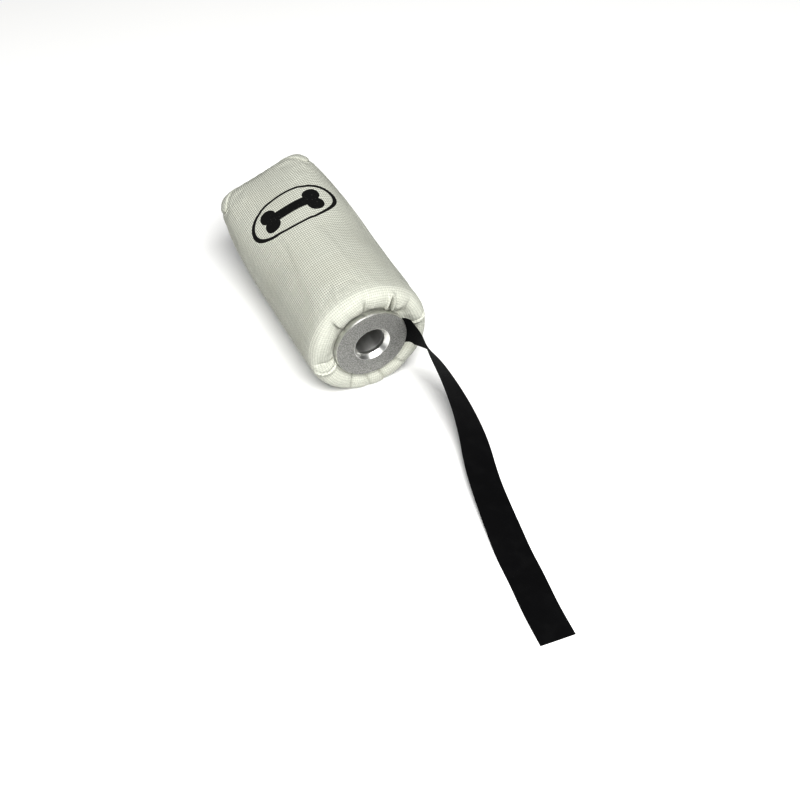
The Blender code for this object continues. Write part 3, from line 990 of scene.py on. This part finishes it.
def make_turned(name, profile, materials, node, segments=160):
    """A closed ring turned about the axis; profile rows are (radius, depth, material index)."""
    bm = bmesh.new()
    mesh = bpy.data.meshes.new(name)
    rings = []
    for radius, depth, _ in profile:
        ring = []
        for i in range(segments):
            turn = math.tau * i / segments
            x = radius * MM * math.cos(turn)
            z = AXIS_HEIGHT + radius * MM * math.sin(turn)
            ring.append(bm.verts.new((x, MOUTH_Y + depth * MM, z)))
        rings.append(ring)
    layer = bm.loops.layers.uv.new("turned")
    for i, (_, _, index) in enumerate(profile):
        after = (i + 1) % len(profile)
        near, far = rings[i], rings[after]
        for c in range(segments):
            d = (c + 1) % segments
            face = bm.faces.new((near[c], near[d], far[d], far[c]))
            face.material_index = index
            for loop, row in zip(face.loops, (i, i, after, after)):
                place = profile[row]
                loop[layer].uv = (place[0] + place[1], c)
    bmesh.ops.recalc_face_normals(bm, faces=bm.faces)
    bm.to_mesh(mesh)
    bm.free()
    obj = new_object(name, mesh, materials)
    mesh.set_sharp_from_angle(angle=math.radians(28))
    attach(obj, "root")
    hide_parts(node)


def rounded(corner_before, corner, corner_after, radius, steps=4):
    """Points that round a profile corner."""
    a, b, c = (np.array(p, float) for p in (corner_before, corner, corner_after))
    u = (a - b) / np.linalg.norm(a - b)
    v = (c - b) / np.linalg.norm(c - b)
    start, end = b + u * radius, b + v * radius
    return [
        tuple((1 - t) ** 2 * start + 2 * t * (1 - t) * b + t**2 * end)
        for t in np.linspace(0, 1, steps + 1)
    ]


def rounded_profile(corners):
    """Closed profile from rows of (radius, depth, rounding, material of the run that follows)."""
    out = []
    for i, (radius, depth, rounding, index) in enumerate(corners):
        before, after = corners[i - 1], corners[(i + 1) % len(corners)]
        if rounding:
            places = rounded(before[:2], (radius, depth), after[:2], rounding)
        else:
            places = [(radius, depth)]
        out += [(r, d, index) for r, d in places]
    return out


def make_flange(blasted, machined):
    """The flange with its countersunk mouth, and the hub that holds the tube."""
    r = FLANGE_RADIUS
    corners = [
        (HUB_RADIUS - HUB_CHAMFER, HUB_END, 0.0, 0),
        (HUB_RADIUS, HUB_END - HUB_CHAMFER, 0.0, 0),
        (HUB_RADIUS, FLANGE_THICK, 0.3, 0),
        (r, FLANGE_THICK, 0.3, 1),
        (r, CHAMFER_DEPTH, 0.15, 1),
        (r - FACE_CHAMFER, 0.0, 0.22, 0),
        (COUNTERSINK_RADIUS, 0.0, 0.18, 1),
        (BORE_RADIUS, COUNTERSINK_DEPTH, 0.3, 1),
        (BORE_RADIUS, SOCKET_START, 0.0, 0),
        (SOCKET_RADIUS, SOCKET_START, 0.0, 0),
        (SOCKET_RADIUS, HUB_END, 0.0, 0),
    ]
    profile = rounded_profile(corners)
    make_turned("flange_ring", profile, [blasted, machined], "end_flange")


def make_tube(machined):
    """The launch tube behind the flange."""
    corners = [
        (TUBE_RADIUS, TUBE_END, 0.2, 0),
        (TUBE_RADIUS, TUBE_START, 0.2, 0),
        (BORE_RADIUS, TUBE_START, 0.2, 0),
        (BORE_RADIUS, TUBE_END, 0.2, 0),
    ]
    profile = rounded_profile(corners)
    make_turned("launch_sleeve", profile, [machined], "launch_tube", segments=128)


# ------------ streamer

def catmull(points, per_span):
    """A smooth curve through rows of numbers."""
    p = np.array(points, float)
    p = np.vstack([2 * p[0] - p[1], p, 2 * p[-1] - p[-2]])
    out = []
    for i in range(1, len(p) - 2):
        for t in np.linspace(0, 1, per_span, endpoint=False):
            out.append(cubic_blend(p[i - 1 : i + 3], t))
    out.append(p[-2])
    return np.array(out)


def soften(rows, reach):
    """Average each row with its neighbours, less and less towards the two ends."""
    out = rows.copy()
    count = len(rows)
    for i in range(count):
        near = min(reach, i, count - 1 - i)
        out[i] = rows[i - near : i + near + 1].mean(axis=0)
    return out


def streamer_line():
    """The ribbon's middle line, the direction across it, its outward face and its running length."""
    dense = catmull(STREAMER_ROUTE, 60)
    route = dense[:, :3] * MM
    route[:, 1] += MOUTH_Y
    run = path_length(route)
    even = np.linspace(0, run[-1], int(run[-1] / RIB_STEP))
    line = np.stack([np.interp(even, run, route[:, k]) for k in range(3)], axis=1)
    line = soften(line, int(4.0 / RIB_STEP))
    roll = soften(np.radians(np.interp(even, run, dense[:, 3])), int(6.0 / RIB_STEP))
    ahead = np.gradient(line, axis=0)
    ahead /= np.linalg.norm(ahead, axis=1, keepdims=True)
    level = np.cross(ahead, [0, 0, 1])
    level /= np.linalg.norm(level, axis=1, keepdims=True)
    upward = np.cross(level, ahead)
    side = level * np.cos(roll)[:, None] + upward * np.sin(roll)[:, None]
    return line, side, np.cross(side, ahead), even


def close_ends(mesh, rows, columns):
    """Close the two ends of a flat strip whose rows each run along its top and back underneath."""
    bm = bmesh.new()
    bm.from_mesh(mesh)
    bm.verts.ensure_lookup_table()
    for row in (0, rows - 1):
        base = row * columns
        for c in range(columns // 2 - 1):
            a, b = base + c, base + c + 1
            d, e = base + columns - 1 - c, base + columns - 2 - c
            bm.faces.new([bm.verts[k] for k in (a, b, e, d)])
    bmesh.ops.recalc_face_normals(bm, faces=bm.faces)
    bm.to_mesh(mesh)
    bm.free()


def make_streamer(material):
    """Grosgrain ribbon with a modelled rib across it and a plain woven edge."""
    line, side, face, even = streamer_line()
    half = STREAMER_WIDTH / 2
    across = np.concatenate([[-1.0, -0.975, -0.94], np.linspace(-0.9, 0.9, 11), [0.94, 0.975, 1.0]])
    phase = np.abs(np.sin(math.pi * even / RIB_PITCH)) ** 0.7
    body = np.where(np.abs(across) < 0.93, 1.0, 0.0)
    edge = np.where(np.abs(across) > 0.99, 0.35, 1.0)
    thick = (0.15 + 0.085 * phase[:, None] * body + 0.045 * (1 - body)) * edge * MM
    cup = 0.25 * MM * (across**2)[None, :] * smoothstep(even, 40, 120)[:, None]
    wander = 0.12 * MM * np.sin(even / 17.0)[:, None]
    flat = line[:, None, :] + side[:, None, :] * (across * half)[None, :, None]
    flat = flat + side[:, None, :] * wander[..., None] * 0.6
    flat[..., 2] += cup * 0.4
    top = flat - face[:, None, :] * thick[..., None]
    bottom = flat + face[:, None, :] * thick[..., None]
    loop = np.concatenate([top, bottom[:, ::-1]], axis=1)
    lowest = loop[..., 2].min(axis=1)
    loop[..., 2] += np.maximum(0.00003 - lowest, 0.0)[:, None]
    wide = np.concatenate([across, across[::-1], across[:1]]) * half / MM
    uv = np.stack(np.broadcast_arrays(wide[None, :], even[:, None]), axis=-1)
    mesh = grid_mesh("ribbon_streamer", loop, cloth=uv)
    close_ends(mesh, len(even), loop.shape[1])
    streamer = new_object("ribbon_streamer", mesh, [material])
    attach(streamer, "root")
    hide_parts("streamer")


# ------------ foam

def make_foam(material):
    """One foam body a little inside the cover, standing for both foam solids."""
    values = np.arange(3.0, len(COVER_STATIONS))
    angles = np.linspace(0, math.tau, 96, endpoint=False)
    value, angle = np.meshgrid(values, angles, indexing="ij")
    points = cover_points(value, angle)
    middle = np.array([0.0, MOUTH_Y + FOAM_MIDDLE * MM, AXIS_HEIGHT])
    points = middle + (points - middle) * FOAM_SHARE
    hole = []
    for radius, depth in FOAM_HOLE:
        x = radius * MM * np.cos(angles)
        z = AXIS_HEIGHT + radius * MM * np.sin(angles)
        hole.append(np.stack([x, np.full_like(x, MOUTH_Y + depth * MM), z], axis=-1))
    rows = np.concatenate([np.array(hole), points], axis=0)
    mesh = grid_mesh("foam_body", rows, fan_last=True)
    bm = bmesh.new()
    bm.from_mesh(mesh)
    bm.verts.ensure_lookup_table()
    bm.faces.new([bm.verts[i] for i in range(len(angles))][::-1])
    bmesh.ops.recalc_face_normals(bm, faces=bm.faces)
    bm.to_mesh(mesh)
    bm.free()
    foam = new_object("foam_body", mesh, [material])
    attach(foam, "root")
    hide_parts("foam_core", "foam_nose_pad")


# ------------ stage

def make_floor(material):
    mesh = bpy.data.meshes.new("floor")
    half = 6.0
    corners = [(-half, -half, 0), (half, -half, 0), (half, half, 0), (-half, half, 0)]
    mesh.from_pydata(corners, [], [(0, 1, 2, 3)])
    below = 0.00005
    floor = new_object("floor", mesh, [material])
    floor.location.z = -below


def area_light(name, place, aim, size, power, colour):
    data = bpy.data.lights.new(name, "AREA")
    data.shape = "RECTANGLE"
    data.size, data.size_y = size
    data.energy = power
    data.color = colour
    light = bpy.data.objects.new(name, data)
    bpy.context.collection.objects.link(light)
    light.location = place
    light.rotation_mode = "QUATERNION"
    light.rotation_quaternion = (Vector(aim) - Vector(place)).to_track_quat("-Z", "Y")


def make_lights():
    """One large soft light above and in front of the mouth, and a weak even surround."""
    aim = Vector((0.0, MOUTH_Y + 0.06, 0.03))
    above = Vector((-0.25, -1.18, 1.81))
    power = 94.0
    warm_white = (1.0, 0.995, 0.98)
    area_light("key", aim + above, aim, (1.7, 1.3), power, warm_white)
    world = bpy.data.worlds.new("studio")
    bpy.context.scene.world = world
    world.use_nodes = True
    background = world.node_tree.nodes["Background"]
    background.inputs["Color"].default_value = rgb(0.95, 0.97, 1.0)
    background.inputs["Strength"].default_value = 0.15


# ------------ build

def dress(node, material):
    """Give a carried-over CAD node its finished material."""
    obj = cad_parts[node]
    obj.data.materials.clear()
    obj.data.materials.append(material)


def main():
    bpy.context.scene.view_settings.view_transform = "Standard"
    bpy.context.scene.view_settings.gamma = 0.78
    make_camera()
    printed = canvas_material("printed_canvas", printed=True)
    plain = canvas_material("plain_canvas", printed=False)
    thread = thread_material()
    blasted = metal_material(
        "blasted_aluminium", (0.44, 0.44, 0.425), 0.58,
        grain=0.5, grain_scale=1300.0, grain_depth=0.00008,
    )
    machined = metal_material(
        "machined_aluminium", (0.80, 0.80, 0.78), 0.33,
        grain=0.06, grain_scale=2500.0, grain_depth=0.00001, turned=0.00001, worn=0.1,
    )
    bore = metal_material(
        "bore_aluminium", (0.62, 0.62, 0.61), 0.42,
        grain=0.08, grain_scale=2500.0, grain_depth=0.00001, turned=0.00003, worn=0.1,
    )
    zinc = metal_material(
        "zinc_plate", (0.56, 0.57, 0.58), 0.35,
        grain=0.15, grain_scale=800.0, grain_depth=0.00002,
    )

    make_streamer(ribbon_material())
    swell = Swell()
    sleeve, sleeve_uv, sleeve_crease_shade, sleeve_value = sleeve_grid(swell)
    panel, panel_uv, panel_crease_shade = panel_grid(swell)
    make_sleeve(printed, sleeve, sleeve_uv, sleeve_crease_shade)
    make_end_panel(plain, panel, panel_uv, panel_crease_shade)
    make_foam(foam_material())
    make_flange(blasted, machined)
    make_tube(bore)
    first_row = side_seam_path(sleeve, sleeve_value, STITCH_OFFSET)
    second_row = side_seam_path(sleeve, sleeve_value, -STITCH_OFFSET)
    make_stitches("side_seam_row_1", first_row, "side_seam_thread_1", thread)
    make_stitches("side_seam_row_2", second_row, "side_seam_thread_2", thread)
    make_stitches("end_panel_row", end_panel_path(panel), "end_panel_thread", thread)
    dress("tube_plug", bore)
    dress("retaining_washer", zinc)
    dress("gather_cord", thread)
    make_floor(floor_material())
    make_lights()


main()
